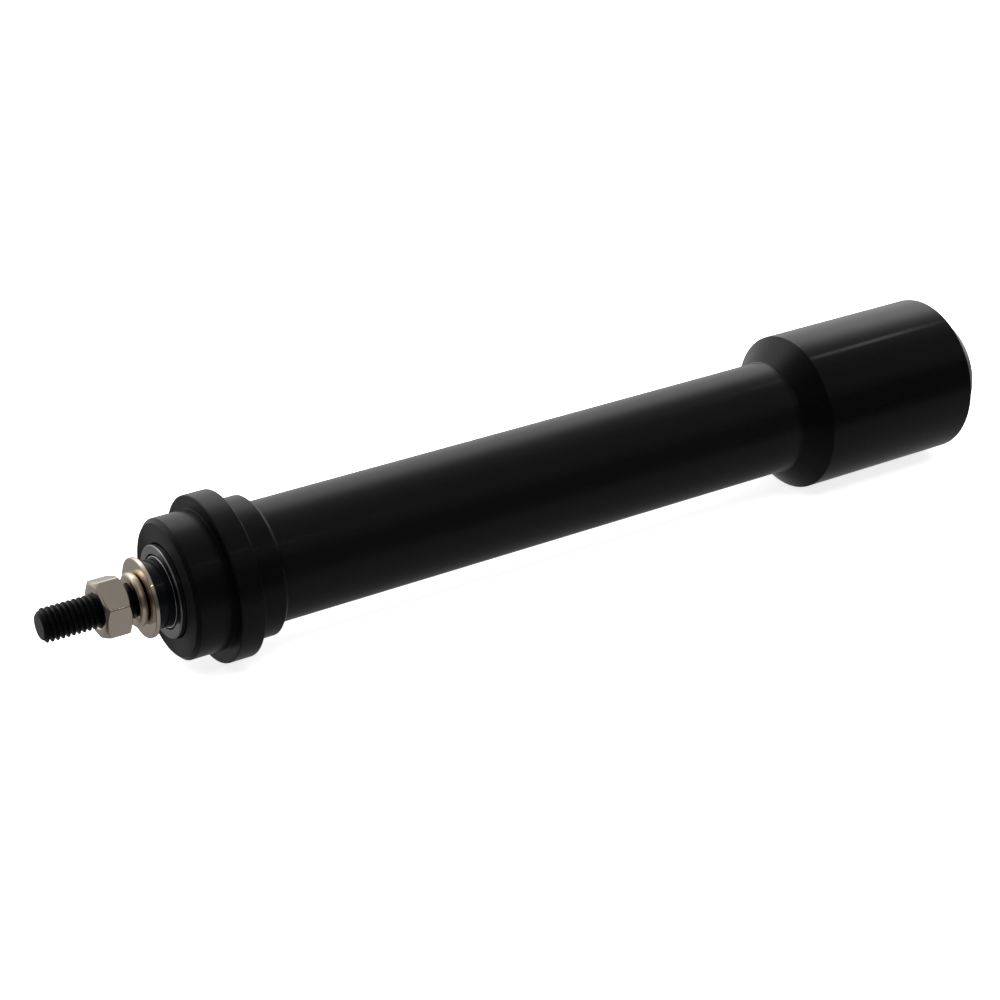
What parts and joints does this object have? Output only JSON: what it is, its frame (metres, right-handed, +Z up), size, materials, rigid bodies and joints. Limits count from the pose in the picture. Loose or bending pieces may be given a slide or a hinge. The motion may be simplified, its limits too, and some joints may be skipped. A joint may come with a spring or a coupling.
{
  "type": "telescopic hydraulic cylinder",
  "caption": "Slim black telescopic hydraulic cylinder with a nose flange, a ground steel sleeve, a threaded rod end with nut and washers, and a heavy coned base with a rear oil port.",
  "frame": {"origin": "on the axis, at the front face of the mounting flange, where the nose spigot starts", "axes": "+X along the axis, the way the stages extend; +Z up; the hexagon nut has a corner 22.5 degrees from +Y towards +Z"},
  "size_m": [0.2586, 0.0404, 0.0404],
  "materials": {
    "black_anodised": "black anodised over fine turning marks, semi-gloss on the barrel, matt on the head",
    "ground_steel": "fine ground and faced steel",
    "black_rod": "polished black nitrided steel",
    "black_oxide": "dull black oxide",
    "nickel": "warm satin nickel plate",
    "zinc": "bright zinc plate with a pale blue cast",
    "bronze": "plain bearing bronze",
    "seal_rubber": "black nitrile rubber",
    "wear_plastic": "bronze-filled bearing plastic",
    "bright_steel": "bright stainless steel"
  },
  "bodies": {
    "barrel": {"gland_head": "black_anodised", "barrel_tube": "black_anodised", "stage_guide_bush": "bronze", "stage_seal": "seal_rubber", "stage_wiper": "seal_rubber", "head_oring": "seal_rubber", "base_housing": "black_anodised", "base_oring": "seal_rubber", "end_plug": "zinc", "plug_oring": "seal_rubber", "base_set_screw": "black_oxide"},
    "stage": {"stage_tube": "ground_steel", "stage_head": "ground_steel", "rod_guide_bush": "bronze", "rod_seal": "seal_rubber", "rod_wiper": "seal_rubber", "scraper_ring": "bright_steel", "stage_piston": "ground_steel", "stage_wear_ring": "wear_plastic"},
    "rod": {"plunger_rod": "black_rod", "rod_piston": "ground_steel", "rod_wear_ring": "wear_plastic", "rod_retaining_ring": "black_oxide", "threaded_stud": "black_oxide"},
    "washer": {"flat_washer": "nickel"},
    "lock": {"lock_washer": "nickel"},
    "nut": {"hex_nut": "nickel"}
  },
  "joints": [
    {"name": "stage_slide", "type": "slide", "parent": "barrel", "child": "stage", "axis": [1, 0, 0], "range_m": [0, 0.168]},
    {"name": "rod_slide", "type": "slide", "parent": "stage", "child": "rod", "axis": [1, 0, 0], "range_m": [0, 0.138]},
    {"name": "nut_spin", "type": "hinge", "parent": "rod", "child": "nut", "pos_m": [0.0232, 0, 0], "axis": [1, 0, 0], "continuous": true},
    {"name": "lock_washer_spin", "type": "hinge", "parent": "rod", "child": "lock", "pos_m": [0.017, 0, 0], "axis": [1, 0, 0], "continuous": true},
    {"name": "flat_washer_spin", "type": "hinge", "parent": "rod", "child": "washer", "pos_m": [0.0154, 0, 0], "axis": [1, 0, 0], "continuous": true}
  ]
}
